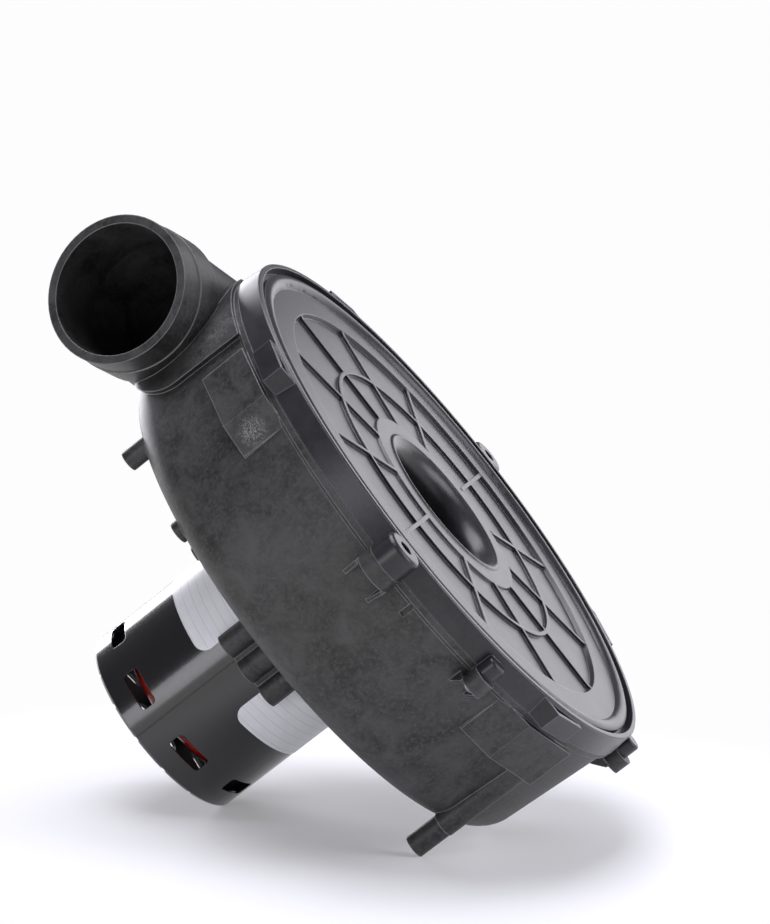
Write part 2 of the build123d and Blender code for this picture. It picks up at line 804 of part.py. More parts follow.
# ------------------------------------------------------------------ motor shell
rim_roll = 1.1
rim_lip = 2.4
tab_count = 16
tab_notch_angle = 3.0
tab_notch_depth = 1.3
with BuildPart() as motor_shell:
    # rolled sheet tube whose rear edge is turned in over the end plate
    with BuildSketch(Plane.XZ):
        with BuildLine():
            Polyline(
                (shell_bore_r, shell_front_z),
                (motor_r, shell_front_z),
                (motor_r, motor_rear_z + rim_roll),
                (motor_r - rim_roll, motor_rear_z),
                (motor_r - rim_lip, motor_rear_z),
                (motor_r - rim_lip, rear_plate_z - 0.1),
                (shell_bore_r, rear_plate_z - 0.1),
                close=True,
            )
        make_face()
    revolve(axis=Axis.Z)
    # notches between the crimped tabs
    with BuildSketch(Plane.XY.offset(motor_rear_z)):
        for tab in range(tab_count):
            middle = 360.0 / tab_count * tab
            sector_face(
                motor_r - rim_lip - 1.0,
                motor_r - 0.5,
                middle - tab_notch_angle / 2,
                tab_notch_angle,
            )
    extrude(amount=tab_notch_depth, mode=Mode.SUBTRACT)
    # vent windows near the rear
    window_width = 2 * motor_r * sin(radians(vent_angle / 2))
    for vent in range(vent_count):
        angle = vent_first_angle + 360.0 / vent_count * vent
        out = Plane(
            origin=(*polar(motor_r - 6.0, angle), vent_mid_z),
            x_dir=(*polar(1, angle + 90), 0),
            z_dir=(*polar(1, angle), 0),
        )
        with BuildSketch(out):
            RectangleRounded(window_width, vent_height, 1.8)
        extrude(amount=10.0, mode=Mode.SUBTRACT)
    # long seam of the rolled sheet
    with BuildSketch(radial_plane(seam_angle)):
        with Locations((motor_r, (shell_front_z + motor_rear_z) / 2)):
            Rectangle(0.7, shell_front_z - motor_rear_z)
    extrude(amount=0.25, both=True, mode=Mode.SUBTRACT)
    # lead hole
    lead_plane = Plane(
        origin=(*polar(motor_r - 6.0, lead_hole_angle), lead_hole_z),
        z_dir=(*polar(1, lead_hole_angle), 0),
    )
    with BuildSketch(lead_plane):
        Circle(lead_hole_r)
    extrude(amount=10.0, mode=Mode.SUBTRACT)
finish(motor_shell, "motor_shell")

with BuildPart() as lead_grommet:
    # a rubber bush that lines the lead hole
    bush_plane = Plane(
        origin=(*polar(shell_bore_r - 1.6, lead_hole_angle), lead_hole_z),
        z_dir=(*polar(1, lead_hole_angle), 0),
    )
    with BuildSketch(bush_plane):
        Circle(lead_hole_r - seat_gap)
    extrude(amount=shell_wall + 3.4)
    with BuildSketch(bush_plane.offset(shell_wall + 1.6 + 0.5)):
        Circle(lead_hole_r + 1.6)
    extrude(amount=1.3)
    with BuildSketch(bush_plane):
        Circle(lead_hole_r - 1.6)
    extrude(amount=shell_wall + 4.0, mode=Mode.SUBTRACT)
finish(lead_grommet, "lead_grommet")

# ------------------------------------------------------------------ labels
label_front_z = motor_front_z - 6.0


def wrapped_label(name, start, size, rear_z):
    """A printed label wrapped on the shell."""
    with BuildPart() as label:
        with BuildSketch(Plane.XY.offset(rear_z)):
            sector_face(motor_r + 0.02, motor_r + label_thickness, start, size)
        extrude(amount=label_front_z - rear_z)
    finish(label, name)


wrapped_label("motor_label_rating", -46.5, 96.0, -115.6)
wrapped_label("motor_label_wiring", -176.0, 94.7, -110.6)

# ------------------------------------------------------------------ stator
slot_bottom_r = 33.5
slot_top_r = 24.2
slot_share = 0.5
slot_mouth = 1.6
with BuildPart() as stator_core:
    # stack of steel sheets with semi-closed slots and clearance for the long bolts
    with BuildSketch(Plane.XY.offset(stack_rear_z)):
        Circle(shell_bore_r - shell_gap)
        Circle(stator_bore_r, mode=Mode.SUBTRACT)
        with PolarLocations(bolt_circle_r, 4, bolt_first_angle):
            Circle(bolt_r + 0.2, mode=Mode.SUBTRACT)
        with PolarLocations((stator_bore_r + slot_top_r) / 2, stator_slots):
            Rectangle(slot_top_r - stator_bore_r + 1.2, slot_mouth, mode=Mode.SUBTRACT)
        with PolarLocations((slot_top_r + slot_bottom_r) / 2, stator_slots):
            SlotOverall(slot_bottom_r - slot_top_r, 4.0, mode=Mode.SUBTRACT)
    extrude(amount=stack_length)
finish(stator_core, "stator_core")

end_turn_r = 35.4
front_turn_length = 5.0
rear_turn_length = 16.5
with BuildPart() as stator_winding:
    # conductors in the slots, joined by the two coil ends
    with BuildSketch(Plane.XY.offset(stack_rear_z - 1.0)):
        with PolarLocations((slot_top_r + slot_bottom_r) / 2, stator_slots):
            SlotOverall(slot_bottom_r - slot_top_r - 1.0, 3.0)
    extrude(amount=stack_length + 2.0)
    for low_z, turn_length in (
        (stack_front_z + 0.6, front_turn_length),
        (stack_rear_z - 0.6 - rear_turn_length, rear_turn_length),
    ):
        with BuildSketch(Plane.XY.offset(low_z)):
            Circle(end_turn_r)
            Circle(slot_top_r + 1.0, mode=Mode.SUBTRACT)
        extrude(amount=turn_length)
    fillet(
        stator_winding.edges().filter_by(GeomType.CIRCLE).group_by(Axis.Z)[0],
        radius=4.0,
    )
finish(stator_winding, "stator_winding")

# ------------------------------------------------------------------ long bolts
with BuildPart() as motor_through_bolts:
    # hexagon heads behind the rear plate, threaded into the front plate
    with BuildSketch(Plane.XY.offset(rear_plate_z)):
        with PolarLocations(bolt_circle_r, 4, bolt_first_angle):
            Circle(bolt_r)
    extrude(amount=motor_front_z - rear_plate_z - 0.2)
    with BuildSketch(Plane.XY.offset(rear_plate_z - bolt_head_height)):
        with PolarLocations(bolt_circle_r, 4, bolt_first_angle):
            RegularPolygon(bolt_head_r, 6)
    extrude(amount=bolt_head_height)
finish(motor_through_bolts, "motor_through_bolts")

# ------------------------------------------------------------------ bearings


def outer_ring(name, mid_z):
    """The outer race of a deep-groove bearing."""
    with BuildPart() as ring:
        with BuildSketch(Plane.XZ):
            with Locations(((bearing_outer_r + bearing_land_outer_r) / 2, mid_z)):
                Rectangle(bearing_outer_r - bearing_land_outer_r, bearing_width)
            with Locations((bearing_pitch_r, mid_z)):
                Circle(ball_r + race_gap, mode=Mode.SUBTRACT)
        revolve(axis=Axis.Z)
    finish(ring, name)


def inner_ring(name, mid_z):
    """The inner race, which turns with the shaft."""
    with BuildPart() as ring:
        with BuildSketch(Plane.XZ):
            with Locations(((bearing_bore_r + bearing_land_inner_r) / 2, mid_z)):
                Rectangle(bearing_land_inner_r - bearing_bore_r, bearing_width)
            with Locations((bearing_pitch_r, mid_z)):
                Circle(ball_r + race_gap, mode=Mode.SUBTRACT)
        revolve(axis=Axis.Z)
    finish(ring, name)


def ball_set(name, mid_z):
    """The balls of one bearing."""
    with BuildPart() as balls:
        with Locations((0, 0, mid_z)):
            with PolarLocations(bearing_pitch_r, ball_count):
                Sphere(ball_r)
    finish(balls, name)


def ball_cage(name, mid_z):
    """The ring that spaces the balls, with a round pocket for each."""
    with BuildPart() as cage:
        with BuildSketch(Plane.XY.offset(mid_z - cage_height / 2)):
            Circle(bearing_pitch_r + cage_half_wall)
            Circle(bearing_pitch_r - cage_half_wall, mode=Mode.SUBTRACT)
        extrude(amount=cage_height)
        with Locations((0, 0, mid_z)):
            with PolarLocations(bearing_pitch_r, ball_count):
                Cylinder(
                    ball_r + cage_gap,
                    4 * cage_half_wall,
                    rotation=(0, 90, 0),
                    mode=Mode.SUBTRACT,
                )
    finish(cage, name)


for end_name, bearing_mid_z in (("front", front_bearing_z), ("rear", rear_bearing_z)):
    outer_ring(f"{end_name}_bearing_outer_ring", bearing_mid_z)
    inner_ring(f"{end_name}_bearing_inner_ring", bearing_mid_z)
    ball_set(f"{end_name}_bearing_balls", bearing_mid_z)
    ball_cage(f"{end_name}_bearing_cage", bearing_mid_z)

# ------------------------------------------------------------------ rotor
bar_circle_r = rotor_r - 2.6
bar_r = 1.3
with BuildPart() as shaft:
    with BuildSketch(Plane.XY.offset(rear_bearing_z - bearing_width / 2 + 0.3)):
        Circle(shaft_r)
    extrude(amount=shaft_top_z - rear_bearing_z + bearing_width / 2 - 0.3)
    # flat for the impeller hub
    with BuildSketch(Plane.XY.offset(impeller_back_z - hub_flange - 0.5)):
        with Locations((0, shaft_flat_y + shaft_r)):
            Rectangle(2 * shaft_r, 2 * shaft_r)
    extrude(amount=shaft_top_z - impeller_back_z + hub_flange + 0.5, mode=Mode.SUBTRACT)
    chamfer(shaft.faces().sort_by(Axis.Z)[-1].edges(), length=0.5)
finish(shaft, "shaft")

with BuildPart() as rotor_core:
    with BuildSketch(Plane.XY.offset(stack_rear_z)):
        Circle(rotor_r)
        Circle(shaft_r + seat_gap / 2, mode=Mode.SUBTRACT)
        with PolarLocations(bar_circle_r, rotor_bars):
            Circle(bar_r + 0.02, mode=Mode.SUBTRACT)
    extrude(amount=stack_length)
finish(rotor_core, "rotor_core")

cage_ring_height = 4.0
with BuildPart() as rotor_cage:
    # cast bars and end rings, with paddles on the rear ring that stir the cooling air
    with BuildSketch(Plane.XY.offset(stack_rear_z - 0.5)):
        with PolarLocations(bar_circle_r, rotor_bars):
            Circle(bar_r)
    extrude(amount=stack_length + 1.0)
    for ring_z in (stack_rear_z - cage_ring_height - 0.02, stack_front_z + 0.02):
        with BuildSketch(Plane.XY.offset(ring_z)):
            Circle(rotor_r - 0.8)
            Circle(rotor_r - 6.0, mode=Mode.SUBTRACT)
        extrude(amount=cage_ring_height)
    with BuildSketch(Plane.XY.offset(stack_rear_z - cage_ring_height - 6.0)):
        with PolarLocations(rotor_r - 3.4, 10):
            Rectangle(4.6, 1.4)
    extrude(amount=6.2)
finish(rotor_cage, "rotor_cage")

# ------------------------------------------------------------------ shaft spacers and seal
with BuildPart() as shaft_seal:
    # a lipped rubber ring in the shaft hole
    with BuildSketch(Plane.XZ):
        with BuildLine():
            Polyline(
                (shaft_r + running_gap, floor_z + 1.0),
                (back_hole_r - seat_gap, floor_z - 2.2),
                (back_hole_r - seat_gap, floor_z + seal_seat_height),
                (back_hole_r + 2.4, floor_z + seal_seat_height),
                (back_hole_r + 2.4, floor_z + seal_seat_height + 1.2),
                (shaft_r + 2.6, floor_z + seal_seat_height + 1.2),
                (shaft_r + running_gap, floor_z + 2.0),
                close=True,
            )
        make_face()
    revolve(axis=Axis.Z)
finish(shaft_seal, "shaft_seal")

with BuildPart() as heat_slinger:
    # a small disc on the shaft that throws heat and damp away from the front bearing
    with BuildSketch(Plane.XY.offset(motor_front_z - 2.4)):
        Circle(9.6)
        Circle(shaft_r + seat_gap / 2, mode=Mode.SUBTRACT)
    extrude(amount=0.8)
    with BuildSketch(Plane.XY.offset(motor_front_z - 6.2)):
        Circle(shaft_r + 1.6)
        Circle(shaft_r + seat_gap / 2, mode=Mode.SUBTRACT)
    extrude(amount=4.2)
finish(heat_slinger, "heat_slinger")

with BuildPart() as motor_mount_grommets:
    # rubber bushes between the motor screws and the housing's back wall
    with BuildSketch(Plane.XY.offset(motor_front_z + 0.1)):
        with PolarLocations(motor_screw_circle_r, 3, saddle_angles[0]):
            Circle(motor_screw_r + 1.7 - seat_gap)
            Circle(motor_screw_r + seat_gap, mode=Mode.SUBTRACT)
    extrude(amount=motor_gasket_thickness + back_wall - 0.1)
    with BuildSketch(Plane.XY.offset(floor_z)):
        with PolarLocations(motor_screw_circle_r, 3, saddle_angles[0]):
            Circle(motor_screw_r + 3.4)
            Circle(motor_screw_r + seat_gap, mode=Mode.SUBTRACT)
    extrude(amount=1.0)
finish(motor_mount_grommets, "motor_mount_grommets")

with BuildPart() as motor_mount_screws:
    # pan heads inside the housing, threaded into the motor's front plate
    with BuildSketch(Plane.XY.offset(floor_z + 1.0 - motor_screw_length)):
        with PolarLocations(motor_screw_circle_r, 3, saddle_angles[0]):
            Circle(motor_screw_r)
    extrude(amount=motor_screw_length)
    with BuildSketch(Plane.XY.offset(floor_z + 1.0)):
        with PolarLocations(motor_screw_circle_r, 3, saddle_angles[0]):
            Circle(motor_screw_r + 2.0)
    extrude(amount=2.2)
    fillet(motor_mount_screws.edges().group_by(Axis.Z)[-1], radius=1.2)
    with BuildSketch(Plane.XY.offset(floor_z + 2.0)):
        with PolarLocations(motor_screw_circle_r, 3, saddle_angles[0]):
            Rectangle(4.0, 0.9)
            Rectangle(0.9, 4.0)
    extrude(amount=2.0, mode=Mode.SUBTRACT)
finish(motor_mount_screws, "motor_mount_screws")

# ------------------------------------------------------------------ impeller
plate_top_z = impeller_back_z + impeller_plate
insert_r = 7.0
insert_length = 14.0
with BuildPart() as impeller:
    # back plate, swept blades and front shroud moulded in one
    with BuildSketch(Plane.XY.offset(impeller_back_z)):
        Circle(impeller_r)
    extrude(amount=impeller_plate)
    with BuildSketch(Plane.XY.offset(impeller_back_z)):
        Circle(hub_r)
    extrude(amount=hub_length)
    blade_middle_r = (impeller_eye_r + impeller_r) / 2
    with BuildSketch(Plane.XY.offset(plate_top_z - 0.3)):
        for blade in range(blade_count):
            turn = 360.0 / blade_count * blade
            with BuildLine():
                spine = ThreePointArc(
                    polar(blade_root_r, turn),
                    polar(blade_middle_r, turn - blade_sweep * 0.42),
                    polar(impeller_r - 0.6, turn - blade_sweep),
                )
                offset(spine, amount=blade_thickness / 2, side=Side.BOTH)
            make_face()
    extrude(amount=blade_eye_height + 0.3)
    # the blades and the shroud fall away towards the tips
    with BuildSketch(Plane.XZ):
        with BuildLine():
            Polyline(
                (impeller_eye_r, plate_top_z + blade_eye_height),
                (impeller_r + 1.0, plate_top_z + blade_tip_height),
                (impeller_r + 1.0, plate_top_z + blade_eye_height + 2.0),
                (impeller_eye_r, plate_top_z + blade_eye_height + 2.0),
                close=True,
            )
        make_face()
    revolve(axis=Axis.Z, mode=Mode.SUBTRACT)
    with BuildSketch(Plane.XZ):
        with BuildLine():
            Polyline(
                (impeller_eye_r, plate_top_z + blade_eye_height - 0.4),
                (impeller_r, plate_top_z + blade_tip_height - 0.4),
                (impeller_r, plate_top_z + blade_tip_height + shroud_thickness - 0.4),
                (impeller_eye_r, plate_top_z + blade_eye_height + shroud_thickness - 0.4),
                close=True,
            )
        make_face()
    revolve(axis=Axis.Z)
    with BuildSketch(Plane.XY.offset(impeller_back_z - 1.0)):
        Circle(insert_r + seat_gap / 2)
    extrude(amount=insert_length + 1.0, mode=Mode.SUBTRACT)
    with BuildSketch(Plane.XY.offset(impeller_back_z)):
        Circle(shaft_r + 0.4)
    extrude(amount=hub_length, mode=Mode.SUBTRACT)
finish(impeller, "impeller")

with BuildPart() as impeller_hub:
    # metal insert with a D-shaped bore
    with BuildSketch(Plane.XY.offset(impeller_back_z - hub_flange)):
        Circle(insert_r + 2.0)
    extrude(amount=hub_flange - seat_gap)
    with BuildSketch(Plane.XY.offset(impeller_back_z - seat_gap)):
        Circle(insert_r)
    extrude(amount=insert_length)
    with BuildSketch(Plane.XY.offset(impeller_back_z - hub_flange)):
        Circle(shaft_r + seat_gap / 2)
        with Locations((0, shaft_flat_y + seat_gap / 2 + shaft_r)):
            Rectangle(2.2 * shaft_r, 2 * shaft_r, mode=Mode.SUBTRACT)
    extrude(amount=insert_length + hub_flange + 1.0, mode=Mode.SUBTRACT)
finish(impeller_hub, "impeller_hub")

clip_z = impeller_back_z + hub_length
with BuildPart() as impeller_clip:
    # push-on spring clip that holds the impeller on the shaft
    with BuildSketch(Plane.XZ):
        with BuildLine():
            Polyline(
                (shaft_r + seat_gap / 2, clip_z + 1.7),
                (shaft_r + 2.2, clip_z + 0.1),
                (shaft_r + 5.0, clip_z + 0.1),
                (shaft_r + 5.0, clip_z + 0.9),
                (shaft_r + 2.5, clip_z + 0.9),
                (shaft_r + seat_gap / 2, clip_z + 2.5),
                close=True,
            )
        make_face()
    revolve(axis=Axis.Z)
    with BuildSketch(Plane.XY.offset(clip_z)):
        with PolarLocations(shaft_r + 1.2, 3):
            Rectangle(3.0, 0.6)
    extrude(amount=3.0, mode=Mode.SUBTRACT)
finish(impeller_clip, "impeller_clip")
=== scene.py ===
import bpy
import math
from mathutils import Matrix, Vector


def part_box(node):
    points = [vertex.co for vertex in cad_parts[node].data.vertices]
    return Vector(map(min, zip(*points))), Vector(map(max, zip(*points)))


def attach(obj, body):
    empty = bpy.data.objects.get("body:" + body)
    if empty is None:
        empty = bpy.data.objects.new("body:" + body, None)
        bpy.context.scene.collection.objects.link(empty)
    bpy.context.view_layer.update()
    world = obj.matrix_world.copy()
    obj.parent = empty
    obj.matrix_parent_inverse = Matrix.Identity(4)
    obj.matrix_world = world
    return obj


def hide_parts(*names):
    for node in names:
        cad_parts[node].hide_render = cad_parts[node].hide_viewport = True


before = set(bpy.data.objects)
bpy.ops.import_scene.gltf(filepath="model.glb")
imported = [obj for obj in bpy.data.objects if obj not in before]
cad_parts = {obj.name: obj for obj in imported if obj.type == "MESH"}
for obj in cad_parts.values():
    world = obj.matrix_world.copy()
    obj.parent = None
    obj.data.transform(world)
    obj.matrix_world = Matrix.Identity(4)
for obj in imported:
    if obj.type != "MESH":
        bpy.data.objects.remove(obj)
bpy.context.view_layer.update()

# ---- The view -------------------------------------------------------------------------------
# The fan lies over on its motor's rim, its drum's edge and its drain tube, and is looked at
# from the outlet's side with the ribbed cover turned to the right. A long lens stands well off.
eye = Vector((0.52664, -1.18611, 0.25968))
view_right = Vector((0.4903, 0.4087, 0.7698))
view_down = Vector((0.7658, 0.2196, -0.6044))
view_forward = Vector((-0.4161, 0.8859, -0.2053))
camera_data = bpy.data.cameras.new("camera")
camera_data.sensor_width = 36.0
camera_data.lens = 128.73
camera_data.dof.use_dof = False
camera = bpy.data.objects.new("camera", camera_data)
bpy.context.scene.collection.objects.link(camera)
turn = Matrix((view_right, -view_down, -view_forward)).transposed()
camera.matrix_world = Matrix.Translation(eye) @ turn.to_4x4()
bpy.context.scene.camera = camera
bpy.context.scene.view_settings.view_transform = "Standard"


# ---- Floor and light ------------------------------------------------------------------------
# A white card sweep under the fan: matt with a quarter of painted glow where the shadows fall,
# which lightens them, and all painted glow further out, so that it runs into the white backdrop. Seen
# from below it lets the view through.
def linear(hex_colour):
    """An sRGB hex colour as the linear values that Blender works in."""
    parts = [int(hex_colour[k:k + 2], 16) / 255.0 for k in (0, 2, 4)]
    return [c / 12.92 if c <= 0.04045 else ((c + 0.055) / 1.055) ** 2.4 for c in parts] + [1.0]


def node(tree, kind, settings=None, sockets=None, links=None):
    """Adds a node, sets its settings and sockets, and links other nodes' outputs to it."""
    made = tree.nodes.new(kind)
    for name, value in (settings or {}).items():
        setattr(made, name, value)
    for name, value in (sockets or {}).items():
        made.inputs[name].default_value = value
    for name, output in (links or {}).items():
        tree.links.new(output, made.inputs[name])
    return made


def start_material(name):
    """A new material, its emptied node tree and the place of each point on its piece."""
    material = bpy.data.materials.new(name)
    material.use_nodes = True
    tree = material.node_tree
    tree.nodes.clear()
    place = node(tree, "ShaderNodeTexCoord").outputs["Object"]
    return material, tree, place


def end_tree(tree, shader, kind="ShaderNodeOutputMaterial"):
    """Links the last shader of a node tree to its output."""
    node(tree, kind, None, None, {"Surface": shader.outputs[0]})


floor_up = Vector((-0.6875, -0.2801, 0.6699)).normalized()
floor_offset = -0.13334
floor_side = 6.0
bpy.ops.object.select_all(action="DESELECT")
bpy.ops.mesh.primitive_grid_add(x_subdivisions=2, y_subdivisions=2, size=floor_side)
floor = bpy.context.object
floor.name = "floor_card"
floor_turn = floor_up.to_track_quat("Z", "Y").to_matrix().to_4x4()
floor.matrix_world = Matrix.Translation(floor_up * floor_offset) @ floor_turn
card, tree, place = start_material("white card, painted glow")
reach = node(tree, "ShaderNodeVectorMath", {"operation": "LENGTH"}, None, {0: place})
# share of painted glow: a quarter near the fan, which lightens its cast shadows, and full further out
painted_glow_share = node(tree, "ShaderNodeMapRange", {"interpolation_type": "SMOOTHSTEP"},
           {"From Min": 0.12, "From Max": 0.29, "To Min": 0.24}, {"Value": reach.outputs["Value"]})
paper = node(tree, "ShaderNodeBsdfPrincipled", None,
             {"Base Color": linear("F3F3F8"), "Roughness": 0.9, "Specular IOR Level": 0.2})
glow = node(tree, "ShaderNodeEmission", None, {"Color": linear("FDFDFE"), "Strength": 1.0})
clear = node(tree, "ShaderNodeBsdfTransparent")
side = node(tree, "ShaderNodeNewGeometry")
swept = node(tree, "ShaderNodeMixShader", None, None,
             {0: painted_glow_share.outputs["Result"], 1: paper.outputs[0], 2: glow.outputs[0]})
mixed = node(tree, "ShaderNodeMixShader", None, None,
             {0: side.outputs["Backfacing"], 1: swept.outputs[0], 2: clear.outputs[0]})
end_tree(tree, mixed)
floor.data.materials.append(card)

# the backdrop is white to the eye and a dim grey room to the fan
world = bpy.data.worlds.new("studio")
bpy.context.scene.world = world
world.use_nodes = True
room = world.node_tree
room.nodes.clear()
straight = node(room, "ShaderNodeLightPath")
dim = node(room, "ShaderNodeBackground", None, {"Color": linear("E9E9F2"), "Strength": 0.22})
white = node(room, "ShaderNodeBackground", None, {"Color": linear("FDFDFE"), "Strength": 1.0})
seen = node(room, "ShaderNodeMixShader", None, None,
            {0: straight.outputs["Is Camera Ray"], 1: dim.outputs[0], 2: white.outputs[0]})
end_tree(room, seen, "ShaderNodeOutputWorld")


def soft_lamp(name, right, up, near, width, height, watts):
    """A large studio lamp, placed from the fan's middle along the view and aimed at the fan."""
    data = bpy.data.lights.new(name, "AREA")
    data.shape = "RECTANGLE"
    data.size = width
    data.size_y = height
    data.energy = watts
    data.color = linear("FAF9FF")[:3]
    lamp = bpy.data.objects.new(name, data)
    bpy.context.scene.collection.objects.link(lamp)
    lamp.visible_camera = False
    away = view_right * right - view_down * up - view_forward * near
    lamp.location = middle + away
    lamp.rotation_mode = "QUATERNION"
    lamp.rotation_quaternion = away.to_track_quat("Z", "Y")


middle = Vector((0.0, -0.02, -0.05))
soft_lamp("backdrop_lamp", 1.25, 0.1, -1.6, 1.9, 1.3, 14.0)
soft_lamp("window_lamp", -0.75, 0.35, -1.2, 0.8, 0.9, 17.0)
soft_lamp("overhead_lamp", -0.15, 1.4, 0.0, 1.3, 1.0, 22.0)
soft_lamp("side_lamp", 1.5, 0.5, 0.35, 0.9, 1.2, 16.0)
soft_lamp("front_lamp", -1.0, 0.25, 1.6, 0.6, 1.0, 7.0)


# ---- Volute housing -------------------------------------------------------------------------
# The drum, its outlet pipe and its bosses, moulded in one from glass-filled resin. The glass
# and the flow of the melt leave a speckled dark grey skin; corners are painted pale as a painted
# highlight, and the pipe's root and one pad are painted paler in patches. A patch is its centre, its
# reach and its strength.
def dress(name, material):
    """Gives a CAD node its finish."""
    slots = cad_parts[name].data.materials
    slots.clear()
    slots.append(material)


def glass_filled_resin(name, deep, pale, edge_highlight_and_patch_colour, rough_low, rough_high, corner_mm, pale_patches=()):
    """Moulded glass-filled resin: 14 mm clouds, 2 mm flecks, 0.5 mm grain, soft corners painted pale as
    a highlight, paler patches.
    """
    material, tree, place = start_material(name)
    cloud = node(tree, "ShaderNodeTexNoise", None,
                 {"Scale": 70.0, "Detail": 7.0, "Roughness": 0.66, "Distortion": 0.7}, {"Vector": place})
    fleck = node(tree, "ShaderNodeTexNoise", None,
                 {"Scale": 560.0, "Detail": 5.0, "Roughness": 0.8}, {"Vector": place})
    grain = node(tree, "ShaderNodeTexNoise", None,
                 {"Scale": 1700.0, "Detail": 2.0, "Roughness": 0.6}, {"Vector": place})
    cloudy = node(tree, "ShaderNodeMapRange", None, {"From Min": 0.36, "From Max": 0.68},
                  {"Value": cloud.outputs["Fac"]})
    flecked = node(tree, "ShaderNodeMapRange", None,
                   {"From Min": 0.47, "From Max": 0.66, "To Max": 0.95},
                   {"Value": fleck.outputs["Fac"]}).outputs["Result"]
    skin = node(tree, "ShaderNodeMix", {"data_type": "RGBA"}, {6: linear(deep), 7: linear(pale)},
                {0: cloudy.outputs["Result"]})
    specked = node(tree, "ShaderNodeMix", {"data_type": "RGBA"}, {7: linear(pale)},
                   {0: flecked, 6: skin.outputs[2]})
    corner = node(tree, "ShaderNodeBevel", {"samples": 4}, {"Radius": corner_mm / 1000.0})
    flat = node(tree, "ShaderNodeNewGeometry")
    along = node(tree, "ShaderNodeVectorMath", {"operation": "DOT_PRODUCT"}, None,
                 {0: corner.outputs["Normal"], 1: flat.outputs["Normal"]})
    # corners, where the bevelled normal leans off the flat one, are painted toward the pale colour: a
    # painted highlight
    pale_marks_and_painted_edge_highlight = node(tree, "ShaderNodeMapRange", None,
                {"From Min": 0.995, "From Max": 0.86, "To Max": 0.85}, {"Value": along.outputs["Value"]})
    pale_marks_and_painted_edge_highlight = pale_marks_and_painted_edge_highlight.outputs["Result"]
    patch_breakup = node(tree, "ShaderNodeTexNoise", None, {"Scale": 900.0, "Detail": 3.0, "Distortion": 2.0},
                   {"Vector": place})
    # paler patches at given centres, broken up by fine noise, painted toward the pale colour
    for centre, radius, strength in pale_patches:
        gap = node(tree, "ShaderNodeVectorMath", {"operation": "DISTANCE"}, {1: centre}, {0: place})
        near = node(tree, "ShaderNodeMapRange", None,
                    {"From Min": radius, "From Max": 0.0, "To Max": strength},
                    {"Value": gap.outputs["Value"]})
        patch_broken = node(tree, "ShaderNodeMapRange", None, {"From Min": 0.45, "From Max": 0.62},
                    {"Value": patch_breakup.outputs["Fac"]})
        mark = node(tree, "ShaderNodeMath", {"operation": "MULTIPLY"}, None,
                    {0: near.outputs["Result"], 1: patch_broken.outputs["Result"]})
        pale_marks_and_painted_edge_highlight = node(tree, "ShaderNodeMath", {"operation": "MAXIMUM"}, None,
                    {0: pale_marks_and_painted_edge_highlight, 1: mark.outputs[0]}).outputs[0]
    # the painted edge highlight and the paler patches are mixed into the skin's colour
    base = node(tree, "ShaderNodeMix", {"data_type": "RGBA"}, {7: linear(edge_highlight_and_patch_colour)},
                {0: pale_marks_and_painted_edge_highlight, 6: specked.outputs[2]})
    dull = node(tree, "ShaderNodeMapRange", None, {"To Min": rough_low, "To Max": rough_high},
                {"Value": cloud.outputs["Fac"]})
    relief = node(tree, "ShaderNodeMath", {"operation": "MULTIPLY_ADD"}, {1: 0.5},
                  {0: fleck.outputs["Fac"], 2: grain.outputs["Fac"]})
    rough_skin = node(tree, "ShaderNodeBump", None, {"Strength": 0.25, "Distance": 0.00014},
                      {"Height": relief.outputs[0], "Normal": corner.outputs["Normal"]})
    shade = node(tree, "ShaderNodeBsdfPrincipled", None, {"IOR": 1.5},
                 {"Base Color": base.outputs[2], "Roughness": dull.outputs["Result"],
                  "Normal": rough_skin.outputs["Normal"]})
    end_tree(tree, shade)
    return material


root_pale_patch = ((-0.074, -0.094, -0.022), 0.022, 0.5)
pad_pale_patch = ((-0.0187, -0.118, -0.024), 0.007, 0.9)
housing_resin = glass_filled_resin("glass-filled polypropylene, moulded",
                                   "151515", "424242", "A0A0A2", 0.4, 0.58, 0.7,
                                   (root_pale_patch, pad_pale_patch))
dress("volute_housing", housing_resin)

# ---- Inlet cover ----------------------------------------------------------------------------
# A shallow ribbed lid with a rolled-in throat, moulded from the same resin in a polished tool.
# Its skin is smoother than the drum's, so it catches more of the light at a low angle.
# its corners are painted pale lilac, a painted highlight
cover_resin = glass_filled_resin("glass-filled polypropylene, polished tool",
                                 "17171A", "28282D", "8E8D98", 0.28, 0.38, 0.5)
dress("inlet_cover", cover_resin)

# ---- Gaskets, seal and bushes ---------------------------------------------------------------
# Black rubber: the cord under the cover, the shaft's lip seal, the motor screws' bushes and
# the bush of the lead hole. Moulded or extruded, matt, with a dusty bloom.
rubber, tree, place = start_material("nitrile rubber, moulded")
bloom = node(tree, "ShaderNodeTexNoise", None, {"Scale": 260.0, "Detail": 5.0}, {"Vector": place})
black = node(tree, "ShaderNodeMix", {"data_type": "RGBA"}, {6: linear("0E0E0F"), 7: linear("242425")},
             {0: bloom.outputs["Fac"]})
pores = node(tree, "ShaderNodeBump", None, {"Strength": 0.25, "Distance": 0.0001},
             {"Height": bloom.outputs["Fac"]})
shade = node(tree, "ShaderNodeBsdfPrincipled", None, {"Roughness": 0.72, "IOR": 1.52},
             {"Base Color": black.outputs[2], "Normal": pores.outputs["Normal"]})
end_tree(tree, shade)
for name in ("cover_gasket", "shaft_seal", "motor_mount_grommets", "lead_grommet"):
    dress(name, rubber)

